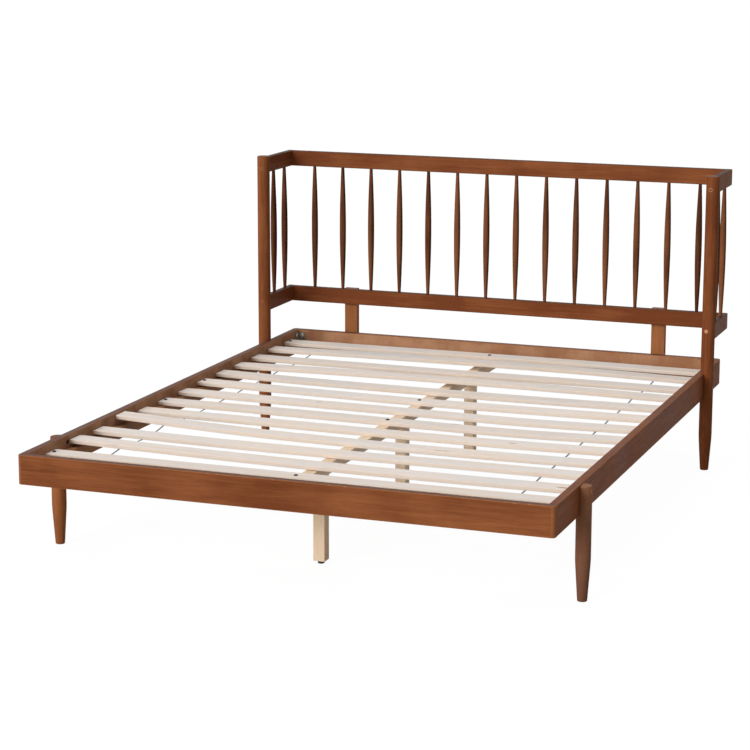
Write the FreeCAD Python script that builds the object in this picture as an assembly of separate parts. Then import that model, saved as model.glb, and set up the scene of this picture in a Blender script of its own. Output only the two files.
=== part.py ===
import FreeCAD, Part
import math
import os

# Queen platform bed with a winged spindle headboard. Millimetres. +Z is up, +Y runs from
# foot to head, and the origin is on the floor at the middle of the whole bed.

Vector = FreeCAD.Vector

# Mattress and the room around it
mattress_width = 1524.0
mattress_length = 2032.0
mattress_side_room = 13.0
mattress_end_room = 3.0

# Rails of the platform
rail_height = 88.0
rail_thickness = 25.0
rail_underside = 246.0
rail_corner_radius = 12.0
rail_edge_chamfer = 2.5

# Slats. The end distances run from an end rail to the nearest slat's middle.
slat_recess = 25.0
slat_width = 66.0
slat_thickness = 12.0
slat_end_room = 2.0
slat_edge_chamfer = 2.0
slat_count = 13
slat_foot_distance = 128.0
slat_head_distance = 105.0

# Tapes that space the slats
tape_width = 5.0
tape_thickness = 0.8
tape_ledge_distance_left = 136.0
tape_ledge_distance_right = 111.0
tape_end_distance = 12.0

# Ledges that carry the slats' ends
ledge_width = 28.0
ledge_height = 36.0
ledge_end_room = 32.0
ledge_edge_chamfer = 2.0

# Beam and legs down the middle
beam_width = 36.0
beam_height = 34.0
beam_end_room = 0.2
centre_leg_side = 36.0
centre_leg_end_distance = 319.0
centre_leg_edge_chamfer = 2.0

# Foot legs and headboard posts
leg_diameter = 44.0
leg_foot_diameter = 28.0
leg_taper_height = 116.0
leg_inset = 260.0
leg_axis_outset = 8.0
leg_top_chamfer = 2.0
foot_leg_drop = 4.0

# Headboard
headboard_gap = 107.0
post_rise = 5.0
headboard_rail_height = 55.0
headboard_rail_thickness = 22.0
headboard_edge_chamfer = 2.0
wing_housing_depth = 4.0
rail_tenon_length = 14.0
rail_tenon_thickness = 10.0
rail_tenon_shoulder = 8.0
tenon_clearance = 0.1

# Spindles. The first shares are stations along the length, the others how far each has swelled.
spindle_length = 444.0
spindle_end_diameter = 11.2
spindle_middle_diameter = 23.2
spindle_station_shares = (0, 0.27, 0.50, 0.73, 1)
spindle_swell_shares = (0, 0.783, 1, 0.783, 0)
back_spindle_count = 14
back_spindle_end_distance = 85.25
wing_spindle_count = 2
wing_spindle_end_distance = 69.0

# Struts behind the headboard
strut_width = 49.0
strut_thickness = 22.0
strut_inset = 225.0
strut_edge_chamfer = 2.0

# Angle brackets, tall ones in the corners and short ones at the beam's ends
bracket_leaf = 28.0
bracket_thickness = 2.5
corner_bracket_height = 50.0
corner_bracket_drop = 9.0
beam_bracket_height = 26.0
beam_bracket_lift = 4.0

# Screw-in levelling glides under the centre legs
glide_pad_diameter = 20.0
glide_pad_height = 8.0
glide_gap = 2.0
glide_stem_diameter = 8.0
glide_stem_length = 28.0
glide_stem_clearance = 0.05
glide_bore_room = 5.0

# Overrun of all cuts
overrun = 5.0

# Places that follow from the sizes above
inner_width = mattress_width + 2 * mattress_side_room
inner_length = mattress_length + 2 * mattress_end_room
outer_width = inner_width + 2 * rail_thickness
outer_length = inner_length + 2 * rail_thickness
inner_x = inner_width / 2
outer_x = outer_width / 2
foot_y = -(outer_length + strut_thickness) / 2
head_y = foot_y + outer_length
inner_foot_y = foot_y + rail_thickness
inner_head_y = head_y - rail_thickness
middle_y = (foot_y + head_y) / 2
rail_top = rail_underside + rail_height
slat_top = rail_top - slat_recess
slat_underside = slat_top - slat_thickness
beam_underside = slat_underside - beam_height
leg_radius = leg_diameter / 2
leg_x = outer_x + leg_axis_outset
foot_leg_y = foot_y + leg_inset
post_y = head_y - leg_inset
lower_rail_underside = rail_top + headboard_gap
lower_rail_top = lower_rail_underside + headboard_rail_height
upper_rail_underside = lower_rail_top + spindle_length
headboard_top = upper_rail_underside + headboard_rail_height
headboard_middle_y = head_y - headboard_rail_thickness / 2
wing_inner_x = leg_x - headboard_rail_thickness / 2
wing_outer_x = leg_x + headboard_rail_thickness / 2
post_back_y = post_y + leg_radius
wing_front_y = post_back_y - wing_housing_depth
ledge_inner_x = inner_x - ledge_width
strut_x = outer_x - strut_inset
centre_leg_underside = glide_pad_height + glide_gap
centre_leg_places = (inner_foot_y + centre_leg_end_distance, middle_y, inner_head_y - centre_leg_end_distance)

X = Vector(1, 0, 0)
Y = Vector(0, 1, 0)
Z = Vector(0, 0, 1)


def block(x0, x1, y0, y1, z0, z1):
    """Return a box between two corners."""
    return Part.makeBox(x1 - x0, y1 - y0, z1 - z0, Vector(x0, y0, z0))


def straight(start, end):
    """Return a straight edge."""
    return Part.LineSegment(start, end).toShape()


def straight_edges(points):
    """Return straight edges from each point to the next."""
    return [straight(a, b) for a, b in zip(points, points[1:])]


def taper(start, end):
    """Return a straight edge as a Bezier curve, which turns into a surface with no needless facets."""
    curve = Part.BezierCurve()
    curve.setPoles([start, end])
    return curve.toShape()


def turned(edges):
    """Return the solid that a closed outline in the XZ plane makes when turned about Z."""
    return Part.Face(Part.Wire(edges)).revolve(Vector(0, 0, 0), Z, 360)


def mirrored(shape):
    """Return the shape's twin on the bed's other side."""
    return shape.mirror(Vector(0, 0, 0), X)


def both_sides(shapes):
    """Return shapes and their twins on the other side as one group."""
    return Part.makeCompound(shapes + [mirrored(shape) for shape in shapes])


def eased_board(x0, x1, y0, y1, z0, z1, along, chamfer):
    """Return a board whose edges along its length are eased."""
    board = block(x0, x1, y0, y1, z0, z1)
    edges = [edge for edge in board.Edges if edge.tangentAt(edge.FirstParameter).cross(along).Length < 0.5]
    return board.makeChamfer(chamfer, edges)


def end_rail(outer_y, inner_y):
    """Return an end rail whose outer corners are rounded and whose outer edges are eased."""
    outward = 1 if outer_y > inner_y else -1
    corner_x = outer_x - rail_corner_radius
    corner_y = outer_y - outward * rail_corner_radius
    diagonal = rail_corner_radius * math.sqrt(0.5)
    z = rail_underside
    outline = straight_edges([
        Vector(-outer_x, corner_y, z),
        Vector(-outer_x, inner_y, z),
        Vector(outer_x, inner_y, z),
        Vector(outer_x, corner_y, z),
    ])
    outline.append(Part.Arc(
        Vector(outer_x, corner_y, z),
        Vector(corner_x + diagonal, corner_y + outward * diagonal, z),
        Vector(corner_x, outer_y, z),
    ).toShape())
    outline.append(straight(Vector(corner_x, outer_y, z), Vector(-corner_x, outer_y, z)))
    outline.append(Part.Arc(
        Vector(-corner_x, outer_y, z),
        Vector(-corner_x - diagonal, corner_y + outward * diagonal, z),
        Vector(-outer_x, corner_y, z),
    ).toShape())
    rail = Part.Face(Part.Wire(outline)).extrude(Vector(0, 0, rail_height))
    eased = []
    for edge in rail.Edges:
        level = edge.BoundBox.ZLength < rail_edge_chamfer
        outside = (edge.BoundBox.Center.y - inner_y) * outward > rail_edge_chamfer
        if level and outside:
            eased.append(edge)
    return rail.makeChamfer(rail_edge_chamfer, eased)


def side_rail_right():
    """Return the right side rail."""
    return eased_board(inner_x, outer_x, inner_foot_y, inner_head_y, rail_underside, rail_top, Y,
                       rail_edge_chamfer)


def ledge_right():
    """Return the right slat ledge, which stops short of the corner brackets."""
    return eased_board(
        ledge_inner_x, inner_x, inner_foot_y + ledge_end_room, inner_head_y - ledge_end_room,
        slat_underside - ledge_height, slat_underside, Y, ledge_edge_chamfer)


def centre_beam():
    """Return the beam under the slats' middles."""
    half = beam_width / 2
    return block(-half, half, inner_foot_y + beam_end_room, inner_head_y - beam_end_room,
                 beam_underside, slat_underside)


def centre_leg(y):
    """Return a square centre leg with the bore that takes its glide's stem."""
    half = centre_leg_side / 2
    leg = eased_board(-half, half, y - half, y + half, centre_leg_underside, beam_underside, Z,
                      centre_leg_edge_chamfer)
    bore_top = glide_pad_height + glide_stem_length + glide_bore_room
    bore_start = centre_leg_underside - overrun
    bore = Part.makeCylinder(glide_stem_diameter / 2 + glide_stem_clearance, bore_top - bore_start,
                             Vector(0, y, bore_start))
    return leg.cut(bore)


def glide(y):
    """Return a levelling glide, a round pad on a threaded stem."""
    pad_radius = glide_pad_diameter / 2
    stem_radius = glide_stem_diameter / 2
    top = glide_pad_height + glide_stem_length
    return turned(straight_edges([
        Vector(0, 0, 0),
        Vector(pad_radius, 0, 0),
        Vector(pad_radius, 0, glide_pad_height),
        Vector(stem_radius, 0, glide_pad_height),
        Vector(stem_radius, 0, top),
        Vector(0, 0, top),
        Vector(0, 0, 0),
    ])).translated(Vector(0, y, 0))


def turned_leg(top, tapered_edge):
    """Return a round leg on the Z axis, with an eased top and a tapered foot drawn as the given kind of edge."""
    foot = Vector(leg_foot_diameter / 2, 0, 0)
    taper_top = Vector(leg_radius, 0, leg_taper_height)
    outline = straight_edges([Vector(0, 0, 0), foot])
    outline.append(tapered_edge(foot, taper_top))
    outline += straight_edges([
        taper_top,
        Vector(leg_radius, 0, top - leg_top_chamfer),
        Vector(leg_radius - leg_top_chamfer, 0, top),
        Vector(0, 0, top),
        Vector(0, 0, 0),
    ])
    return turned(outline)


def rail_notch_right(y):
    """Return the cut that lets the right side rail into a leg, as high as the rail."""
    return block(leg_x - leg_diameter, outer_x, y - leg_diameter, y + leg_diameter, rail_underside, rail_top)


def foot_leg_right():
    """Return the right foot leg, notched from the rail's lower edge to its own top."""
    leg = turned_leg(rail_top - foot_leg_drop, taper).translated(Vector(leg_x, foot_leg_y, 0))
    return leg.cut(rail_notch_right(foot_leg_y))


def wing_housing_right(z0, z1):
    """Return the pocket in the right post that takes a wing rail's end."""
    return block(wing_inner_x, wing_outer_x, wing_front_y, post_y + leg_diameter, z0, z1)


def post_right():
    """Return the right headboard post, notched around the side rail and housed for the wing rails."""
    post = turned_leg(headboard_top + post_rise, straight).translated(Vector(leg_x, post_y, 0))
    post = post.cut(rail_notch_right(post_y))
    post = post.cut(wing_housing_right(upper_rail_underside, headboard_top))
    return post.cut(wing_housing_right(lower_rail_underside, lower_rail_top))


def rail_tenon(z0, z1, room):
    """Return the right tenon of a headboard rail, or its mortise with some room."""
    half = rail_tenon_thickness / 2 + room
    end_x = wing_inner_x + rail_tenon_length + room
    shoulder = rail_tenon_shoulder - room
    return block(0, end_x, headboard_middle_y - half, headboard_middle_y + half, z0 + shoulder, z1 - shoulder)


def headboard_rail(z0, z1):
    """Return a headboard rail with a tenon at each end."""
    rail = eased_board(-wing_inner_x, wing_inner_x, head_y - headboard_rail_thickness, head_y, z0, z1, X,
                       headboard_edge_chamfer)
    tenon = rail_tenon(z0, z1, 0)
    return rail.fuse(tenon).fuse(mirrored(tenon)).removeSplitter()


def wing_rail_right(z0, z1):
    """Return a wing rail from the right post to the back of the headboard, with a mortise."""
    rail = eased_board(wing_inner_x, wing_outer_x, wing_front_y, head_y, z0, z1, Y, headboard_edge_chamfer)
    return rail.cut(rail_tenon(z0, z1, tenon_clearance))


def spindle(place):
    """Return a cigar-shaped spindle that stands at a place and fills the height between two rails."""
    end = spindle_end_diameter / 2
    swell = spindle_middle_diameter / 2 - end
    stations = [
        Vector(end + swell_share * swell, 0, share * spindle_length)
        for share, swell_share in zip(spindle_station_shares, spindle_swell_shares)
    ]
    outline = straight_edges([Vector(0, 0, 0), stations[0]])
    outline += [taper(a, b) for a, b in zip(stations, stations[1:])]
    outline += straight_edges([stations[-1], Vector(0, 0, spindle_length), Vector(0, 0, 0)])
    return turned(outline).translated(place)


def even_row(first, last, count):
    """Return evenly spaced places from the first to the last."""
    return [first + step * (last - first) / (count - 1) for step in range(count)]


def back_spindles():
    """Return the spindles in the back of the headboard."""
    end_x = wing_inner_x - back_spindle_end_distance
    row = even_row(-end_x, end_x, back_spindle_count)
    return [spindle(Vector(x, headboard_middle_y, lower_rail_top)) for x in row]


def wing_spindles_right():
    """Return the spindles in the right wing."""
    row = even_row(post_back_y + wing_spindle_end_distance, head_y - wing_spindle_end_distance, wing_spindle_count)
    return [spindle(Vector(leg_x, y, lower_rail_top)) for y in row]


def strut_right():
    """Return the right strut behind the headboard's lower rail and the head rail."""
    half = strut_width / 2
    return eased_board(strut_x - half, strut_x + half, head_y, head_y + strut_thickness,
                       rail_underside, lower_rail_top, Z, strut_edge_chamfer)


def slat_places():
    """Return the slats' middles along the bed, from foot to head."""
    return even_row(inner_foot_y + slat_foot_distance, inner_head_y - slat_head_distance, slat_count)


def slat(y):
    """Return a slat with eased long edges."""
    end_x = inner_x - slat_end_room
    half = slat_width / 2
    return eased_board(-end_x, end_x, y - half, y + half, slat_underside, slat_top, X, slat_edge_chamfer)


def slat_tape(x):
    """Return a tape under the slats, from the first slat to the last."""
    half = tape_width / 2
    reach = slat_width / 2 - tape_end_distance
    places = slat_places()
    return block(x - half, x + half, places[0] - reach, places[-1] + reach,
                 slat_underside - tape_thickness, slat_underside)


def angle_bracket(height, place, turn):
    """Return an angle bracket that stands in an inner corner, with its leaves along +X and +Y before a turn."""
    leaf = bracket_leaf
    wall = bracket_thickness
    outline = straight_edges([
        Vector(0, 0, 0),
        Vector(leaf, 0, 0),
        Vector(leaf, wall, 0),
        Vector(wall, wall, 0),
        Vector(wall, leaf, 0),
        Vector(0, leaf, 0),
        Vector(0, 0, 0),
    ])
    bracket = Part.Face(Part.Wire(outline)).extrude(Vector(0, 0, height))
    bracket.rotate(Vector(0, 0, 0), Z, turn)
    return bracket.translated(place)


def corner_brackets():
    """Return the brackets in the platform's four corners."""
    z = rail_top - corner_bracket_drop - corner_bracket_height
    corners = (
        (-inner_x, inner_foot_y, 0),
        (inner_x, inner_foot_y, 90),
        (inner_x, inner_head_y, 180),
        (-inner_x, inner_head_y, 270),
    )
    return [angle_bracket(corner_bracket_height, Vector(x, y, z), turn) for x, y, turn in corners]


def beam_brackets():
    """Return the brackets on both sides of the beam's ends."""
    z = beam_underside + beam_bracket_lift
    half = beam_width / 2
    ends = (
        (half, inner_foot_y, 0),
        (-half, inner_foot_y, 90),
        (-half, inner_head_y, 180),
        (half, inner_head_y, 270),
    )
    return [angle_bracket(beam_bracket_height, Vector(x, y, z), turn) for x, y, turn in ends]


def build():
    """Return every sub-part by name."""
    nodes = {
        "foot_rail": end_rail(foot_y, inner_foot_y),
        "head_rail": end_rail(head_y, inner_head_y),
        "centre_beam": centre_beam(),
        "headboard_top_rail": headboard_rail(upper_rail_underside, headboard_top),
        "headboard_lower_rail": headboard_rail(lower_rail_underside, lower_rail_top),
        "foot_legs": both_sides([foot_leg_right()]),
        "back_spindles": Part.makeCompound(back_spindles()),
        "wing_spindles": both_sides(wing_spindles_right()),
        "slat_tapes": Part.makeCompound([
            slat_tape(tape_ledge_distance_left - ledge_inner_x),
            slat_tape(ledge_inner_x - tape_ledge_distance_right),
        ]),
        "angle_brackets": Part.makeCompound(corner_brackets() + beam_brackets()),
    }
    for name, shape in (
        ("side_rail", side_rail_right()),
        ("slat_ledge", ledge_right()),
        ("headboard_post", post_right()),
        ("wing_top_rail", wing_rail_right(upper_rail_underside, headboard_top)),
        ("wing_lower_rail", wing_rail_right(lower_rail_underside, lower_rail_top)),
        ("headboard_strut", strut_right()),
    ):
        nodes["right_" + name] = shape
        nodes["left_" + name] = mirrored(shape)
    for name, y in zip(("foot", "middle", "head"), centre_leg_places):
        nodes[name + "_centre_leg"] = centre_leg(y)
        nodes[name + "_glide"] = glide(y)
    for number, y in enumerate(slat_places(), 1):
        nodes["slat_%02d" % number] = slat(y)
    return nodes


def main():
    """Write one STEP file per sub-part."""
    os.makedirs("parts", exist_ok=True)
    nodes = build()
    for name, shape in nodes.items():
        shape.exportStep("parts/%s.step" % name)
        sound = all(solid.isValid() for solid in shape.Solids)
        print("%-22s solids %2d  valid %s" % (name, len(shape.Solids), sound))
    print(len(nodes), "sub-parts")


main()
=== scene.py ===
"""Looks of a queen platform bed with a winged spindle headboard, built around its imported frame."""
import logging
import math
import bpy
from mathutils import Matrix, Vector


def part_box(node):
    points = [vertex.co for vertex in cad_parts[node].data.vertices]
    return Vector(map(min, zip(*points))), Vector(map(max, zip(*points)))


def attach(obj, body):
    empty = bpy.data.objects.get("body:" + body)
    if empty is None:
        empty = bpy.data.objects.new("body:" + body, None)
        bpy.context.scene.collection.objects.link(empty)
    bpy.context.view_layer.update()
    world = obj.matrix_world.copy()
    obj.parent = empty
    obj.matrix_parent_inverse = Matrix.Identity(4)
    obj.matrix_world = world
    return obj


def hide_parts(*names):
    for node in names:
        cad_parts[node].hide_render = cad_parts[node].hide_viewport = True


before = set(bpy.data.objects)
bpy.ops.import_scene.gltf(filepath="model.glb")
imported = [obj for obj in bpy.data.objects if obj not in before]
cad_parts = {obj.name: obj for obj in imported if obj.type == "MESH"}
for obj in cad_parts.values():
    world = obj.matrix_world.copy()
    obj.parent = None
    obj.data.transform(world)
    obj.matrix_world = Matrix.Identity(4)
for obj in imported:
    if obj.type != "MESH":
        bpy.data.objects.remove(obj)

import zlib
from dataclasses import dataclass, field
from enum import Enum
from functools import reduce
from random import Random
from typing import Iterable, NamedTuple, Sequence

import bmesh
import bpy
from mathutils import Matrix, Quaternion, Vector

log = logging.getLogger("platform_bed")
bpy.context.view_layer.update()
BODY = "bed_frame"
STEEL_SLOT = "bracket_steel"
SIDES = (("left", -1), ("right", 1))
EVEN = (1.0, 1.0, 1.0)
UP = Vector((0, 0, 1))
# The least share of a normal that lies along the way it faces, and of an edge that lies along its axis
FACING, ALONG = 0.9, 0.99
# How far apart two places may lie and still count as one
SAME = 1e-6
# How much of a worn face takes the colour of its edge
EDGE_SHARE = 0.6
# How far a piece's pattern is shifted at most, so that no two pieces show the same wood
SHIFT_REACH = 9.0
SMOOTH_ANGLE = math.radians(32)
Socket = bpy.types.NodeSocket
Material = bpy.types.Material
Vert = bmesh.types.BMVert
Face = bmesh.types.BMFace
Colour = tuple[float, float, float, float]
Corners = tuple[Vector, Vector]
Pairs = tuple[tuple[float, float], ...]


class Grain(Enum):
    """The way the grain runs in a piece: its pattern's stretch along x, y and z."""

    ACROSS = (0.05, 1.0, 1.0)
    LENGTHWISE = (1.0, 0.05, 1.0)
    UPRIGHT = (1.0, 1.0, 0.05)


class Pattern(NamedTuple):
    """A noise: its scale per metre, the number and strength of its finer layers, and how far it warps."""

    scale: float
    detail: float = 3.0
    roughness: float = 0.55
    distortion: float = 0.0


class Span(NamedTuple):
    """A range of values, and what its start and its end become."""

    low: float
    high: float
    to_low: float
    to_high: float


def linear(red: int, green: int, blue: int) -> Colour:
    """Return a colour of 0 to 255 per channel as linear light with full alpha."""
    light = [s / 12.92 if s <= 0.04045 else ((s + 0.055) / 1.055) ** 2.4 for s in (red / 255, green / 255, blue / 255)]
    return (light[0], light[1], light[2], 1.0)


def chance(name: str) -> Random:
    """Return a source of random numbers that is the same for a name each time."""
    return Random(zlib.crc32(name.encode()))


def node_box(node: str) -> Corners:
    """Return the corners of a node of the frame."""
    lo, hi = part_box(node)
    return Vector(lo), Vector(hi)


def new_object(name: str, data: bpy.types.ID) -> bpy.types.Object:
    """Return a new object in the scene.

    Args:
        name: The object's name.
        data: Its mesh, camera or lamp.

    Returns:
        The object.
    """
    item = bpy.data.objects.new(name, data)
    bpy.context.scene.collection.objects.link(item)
    return item


class Shader:
    """A node tree, with short calls for the nodes that the finishes share."""

    def __init__(self, owner: Material | bpy.types.World) -> None:
        """Start an empty tree.

        Args:
            owner: The material or world that the tree belongs to.
        """
        owner.use_nodes = True
        self.owner = owner
        self.tree = owner.node_tree
        self.tree.nodes.clear()

    def node(self, kind: str, inputs: dict[str | int, object] | None = None, **settings: object) -> bpy.types.Node:
        """Add a node.

        Args:
            kind: The node's type, without its ShaderNode prefix.
            inputs: An output socket or a plain value for each input, by its name or number.
            settings: The node's properties.

        Returns:
            The new node.
        """
        made = self.tree.nodes.new("ShaderNode" + kind)
        for key, value in settings.items():
            setattr(made, key, value)
        for key, value in (inputs or {}).items():
            if isinstance(value, Socket):
                self.tree.links.new(value, made.inputs[key])
            else:
                made.inputs[key].default_value = value
        return made

    def place(self, stretch: Sequence[float]) -> Socket:
        """Return pattern coordinates, moved by each piece's own shift and stretched along its grain.

        Args:
            stretch: The scale along x, y and z.

        Returns:
            The coordinates' socket.
        """
        coordinates = self.node("TexCoord").outputs["Object"]
        shift = self.node("Attribute", attribute_name="shift").outputs["Vector"]
        moved = self.node("VectorMath", {0: coordinates, 1: shift}, operation="ADD").outputs[0]
        return self.node("Mapping", {"Vector": moved, "Scale": tuple(stretch)}).outputs[0]

    def number(self, name: str) -> Socket:
        """Return one of a piece's own values, kept on its mesh."""
        return self.node("Attribute", attribute_name=name).outputs["Fac"]

    def noise(self, vector: Socket, pattern: Pattern) -> Socket:
        """Return a noise from 0 to 1 at some coordinates."""
        named = {key.capitalize(): value for key, value in pattern._asdict().items()}
        return self.node("TexNoise", {"Vector": vector, **named}).outputs[0]

    def spread(self, value: Socket, span: Span) -> Socket:
        """Return a value spread over a span and held inside it."""
        inputs = dict(enumerate((value, *span)))
        return self.node("MapRange", inputs, clamp=True, interpolation_type="SMOOTHSTEP").outputs[0]

    def mix(self, factor: object, first: object, second: object) -> Socket:
        """Return a mixture of two colours, with a factor's share of the second."""
        return self.node("Mix", {0: factor, 6: first, 7: second}, data_type="RGBA", clamp_factor=True).outputs[2]

    def shade(self, colour: Socket, amount: Socket) -> Socket:
        """Return a colour made lighter or darker by a factor."""
        return self.node("VectorMath", {0: colour, "Scale": amount}, operation="SCALE").outputs[0]

    def add(self, first: object, second: object, operation: str = "ADD") -> Socket:
        """Return the sum of two numbers, or what another operation makes of them."""
        return self.node("Math", {0: first, 1: second}, operation=operation).outputs[0]

    def times(self, first: object, second: object) -> Socket:
        """Return the product of two numbers."""
        return self.add(first, second, "MULTIPLY")

    def surface(self, colour: object, roughness: object, relief: Socket, depth: float, **sockets: object) -> Material:
        """Finish the material with a principled surface.

        Args:
            colour: The base colour.
            roughness: The roughness.
            relief: The height pattern.
            depth: The pattern's depth in metres.
            sockets: Other values of the surface, with underscores for spaces.

        Returns:
            The material.
        """
        bump = self.node("Bump", {"Height": relief, "Strength": 1.0, "Distance": depth}).outputs[0]
        inputs = {"Base Color": colour, "Roughness": roughness, "Normal": bump}
        inputs.update({key.replace("_", " "): value for key, value in sockets.items()})
        surface = self.node("BsdfPrincipled", inputs).outputs[0]
        self.node("OutputMaterial", {"Surface": surface})
        return self.owner


@dataclass(frozen=True)
class StainedWood:
    """Brown stained hardwood under satin lacquer."""

    slot: str
    grain: Grain
    dark: Colour = linear(112, 60, 33)
    light: Colour = linear(154, 94, 56)
    edge: Colour = linear(150, 94, 58)
    worn: Colour = linear(186, 126, 84)
    # Pale colour of a thin stain, also used as a painted paler, greyer sheen
    bare: Colour = linear(178, 134, 102)
    # Colour that painted shade mixes towards: darker, greyer upper faces and unlit right-facing sides
    settled: Colour = linear(98, 72, 61)
    figure: Pattern = Pattern(46.0, 4.0, 0.6, 1.2)
    streaks: Pattern = Pattern(150.0, 3.0, 0.6, 0.4)
    pores: Pattern = Pattern(620.0, 2.0, 0.5)
    clouds: Pattern = Pattern(5.0, 3.0, 0.5)
    patches: Pattern = Pattern(11.0, 4.0, 0.65)
    rubs: Pattern = Pattern(90.0, 3.0, 0.6)
    figure_tone: Span = Span(0.30, 0.72, 0.22, 0.54)
    streak_tone: Span = Span(0.35, 0.70, -0.08, 0.14)
    cloud_tone: Span = Span(0.3, 0.7, -0.20, 0.24)
    patch_share: Span = Span(0.34, 0.66, 0.45, 0.90)
    rub_share: Span = Span(0.58, 0.70, 0.0, 0.5)
    pore_shade: Span = Span(0.54, 0.72, 1.0, 0.84)
    pore_relief: Span = Span(0.56, 0.70, 0.0, 1.0)
    cloud_gloss: Span = Span(0.3, 0.7, 0.48, 0.58)
    pore_gloss: Span = Span(0.5, 0.7, 0.0, 0.12)
    pore_height: float = -0.7
    streak_height: float = 0.3
    depth: float = 0.0001
    reflection: float = 0.035

    def material(self) -> Material:
        """Build the finish.

        Returns:
            Its material.
        """
        shader = Shader(bpy.data.materials.new(self.slot))
        vector, even = shader.place(self.grain.value), shader.place(EVEN)
        streaks, pores = shader.noise(vector, self.streaks), shader.noise(vector, self.pores)
        clouds = shader.noise(even, self.clouds)
        blend = reduce(shader.add, (
            shader.spread(shader.noise(vector, self.figure), self.figure_tone),
            shader.spread(streaks, self.streak_tone), shader.spread(clouds, self.cloud_tone), shader.number("tone")))
        colour = shader.mix(blend, self.dark, self.light)
        patches = shader.spread(shader.noise(even, self.patches), self.patch_share)
        # Thin stain on inner faces; on the right foot leg and the right wing's outer side it is a painted sheen
        colour = shader.mix(shader.times(shader.number("thin"), patches), colour, self.bare)
        # Painted shade: darker, greyer upper faces, the spindles' right sides and the greyed leg's foot
        colour = shader.mix(shader.number("settled"), colour, self.settled)
        colour = shader.shade(colour, shader.spread(pores, self.pore_shade))
        wear = shader.number("wear")
        colour = shader.mix(shader.times(wear, EDGE_SHARE), colour, self.edge)
        rubs = shader.spread(shader.noise(even, self.rubs), self.rub_share)
        colour = shader.mix(shader.times(rubs, wear), colour, self.worn)
        roughness = shader.add(shader.spread(clouds, self.cloud_gloss), shader.spread(pores, self.pore_gloss))
        relief = shader.add(shader.times(shader.spread(pores, self.pore_relief), self.pore_height),
                            shader.times(streaks, self.streak_height))
        return shader.surface(colour, roughness, relief, self.depth, Specular_IOR_Level=self.reflection)


@dataclass(frozen=True)
class PlainWood:
    """Planed pale wood without a finish."""

    slot: str
    grain: Grain
    base: Colour = linear(226, 216, 208)
    warm: Colour = linear(224, 200, 176)
    cool: Colour = linear(211, 210, 210)
    mark: Colour = linear(164, 130, 100)
    figure: Pattern = Pattern(30.0, 4.0, 0.6, 1.6)
    streaks: Pattern = Pattern(170.0, 3.0, 0.6, 0.5)
    pores: Pattern = Pattern(700.0, 2.0, 0.5)
    clouds: Pattern = Pattern(3.0, 3.0, 0.5)
    knots: Pattern = Pattern(24.0, 1.0, 0.4)
    knot_stretch: float = 0.35
    warm_share: Span = Span(0.40, 0.76, 0.0, 0.75)
    cool_share: Span = Span(0.42, 0.72, 0.0, 0.55)
    streak_share: Span = Span(0.60, 0.78, 0.0, 0.30)
    knot_share: Span = Span(0.75, 0.82, 0.0, 0.85)
    pore_shade: Span = Span(0.55, 0.72, 1.0, 0.90)
    gloss: Span = Span(0.3, 0.7, 0.62, 0.74)
    pore_height: float = -0.6
    streak_height: float = 0.5
    depth: float = 0.00015
    reflection: float = 0.15

    def material(self) -> Material:
        """Build the finish.

        Returns:
            Its material.
        """
        shader = Shader(bpy.data.materials.new(self.slot))
        vector = shader.place(self.grain.value)
        streaks, pores = shader.noise(vector, self.streaks), shader.noise(vector, self.pores)
        knot_vector = shader.place([self.knot_stretch if s < 1 else 1.0 for s in self.grain.value])
        colour = self.base
        for pattern, share, other in (
                (shader.noise(vector, self.figure), self.warm_share, self.warm),
                (shader.noise(shader.place(EVEN), self.clouds), self.cool_share, self.cool),
                (streaks, self.streak_share, self.mark),
                (shader.noise(knot_vector, self.knots), self.knot_share, self.mark)):
            colour = shader.mix(shader.spread(pattern, share), colour, other)
        colour = shader.shade(colour, shader.add(shader.number("tone"), 1.0))
        colour = shader.shade(colour, shader.spread(pores, self.pore_shade))
        colour = shader.mix(shader.times(shader.number("wear"), EDGE_SHARE), colour, self.warm)
        relief = shader.add(shader.times(pores, self.pore_height), shader.times(streaks, self.streak_height))
        return shader.surface(colour, shader.spread(streaks, self.gloss), relief, self.depth,
                              Specular_IOR_Level=self.reflection)


@dataclass(frozen=True)
class PlatedSteel:
    """Zinc plated sheet steel and turned steel."""

    slot: str
    base: Colour = linear(166, 156, 142)
    dull: Colour = linear(112, 104, 94)
    rubbed: Colour = linear(244, 242, 236)
    spangle: Pattern = Pattern(160.0, 3.0, 0.6)
    scratches: Pattern = Pattern(900.0, 2.0, 0.5)
    scratch_stretch: tuple[float, float, float] = (1.0, 1.0, 0.04)
    dull_share: Span = Span(0.35, 0.7, 0.0, 1.0)
    spangle_gloss: Span = Span(0.3, 0.7, 0.30, 0.46)
    scratch_gloss: Span = Span(0.5, 0.7, 0.0, 0.1)
    depth: float = 0.00003
    metal: float = 0.45

    def material(self) -> Material:
        """Build the finish.

        Returns:
            Its material.
        """
        shader = Shader(bpy.data.materials.new(self.slot))
        spangle = shader.noise(shader.place(EVEN), self.spangle)
        scratches = shader.noise(shader.place(self.scratch_stretch), self.scratches)
        colour = shader.mix(shader.spread(spangle, self.dull_share), self.base, self.dull)
        colour = shader.mix(shader.number("wear"), colour, self.rubbed)
        roughness = shader.add(shader.spread(spangle, self.spangle_gloss), shader.spread(scratches, self.scratch_gloss))
        return shader.surface(colour, roughness, scratches, self.depth, Metallic=self.metal)


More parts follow.
